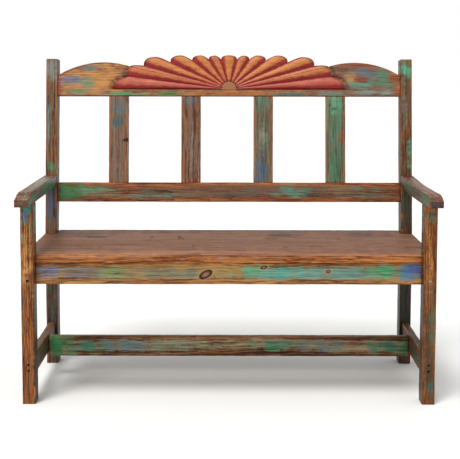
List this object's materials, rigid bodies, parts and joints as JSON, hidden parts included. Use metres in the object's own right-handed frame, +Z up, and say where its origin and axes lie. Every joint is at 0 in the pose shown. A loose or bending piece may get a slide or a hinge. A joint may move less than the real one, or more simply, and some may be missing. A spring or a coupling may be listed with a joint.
{
  "type": "church pew",
  "caption": "Short wooden pew with arms, a slatted leaning back, a low stretcher frame and a fan carved in the crest rail.",
  "frame": {"origin": "on the floor, at the middle of the box round the whole bench", "axes": "+X to the right as seen from the front, along the width; +Y to the back, so the front faces -Y; +Z up"},
  "size_m": [1.222, 0.5772, 1.0283],
  "materials": {
    "worn_leg": "bare pine with traces of old paint",
    "painted_post": "thin blue-green paint worn back to the pine",
    "painted_rail": "teal and green paint worn back to the pine",
    "plain_rail": "stained pine",
    "seat": "thin mauve-brown paint, worn satin",
    "arm": "thin grey-green paint worn back to the pine",
    "slat": "thin grey and green paint worn back to the pine",
    "carved": "ochre and red paint over carving",
    "steel": "dull, rusted a little",
    "plug": "painted filler"
  },
  "bodies": {
    "root": {"front_leg_left": "worn_leg", "front_leg_right": "worn_leg", "rear_post_left": "painted_post", "rear_post_right": "painted_post", "front_apron": "painted_rail", "rear_apron": "plain_rail", "side_apron_left": "plain_rail", "side_apron_right": "plain_rail", "side_stretcher_left": "painted_rail", "side_stretcher_right": "painted_rail", "long_stretcher": "painted_rail", "seat_board_front": "seat", "seat_board_middle": "seat", "seat_board_rear": "seat", "arm_left": "arm", "arm_right": "arm", "back_rail": "painted_rail", "back_slat_1": "slat", "back_slat_2": "slat", "back_slat_3": "slat", "back_slat_4": "slat", "crest_rail": "carved", "front_leg_screws": "steel", "rear_post_screws": "steel", "arm_screws": "steel", "seat_nails": "steel", "wood_plugs": "plug"}
  },
  "joints": []
}
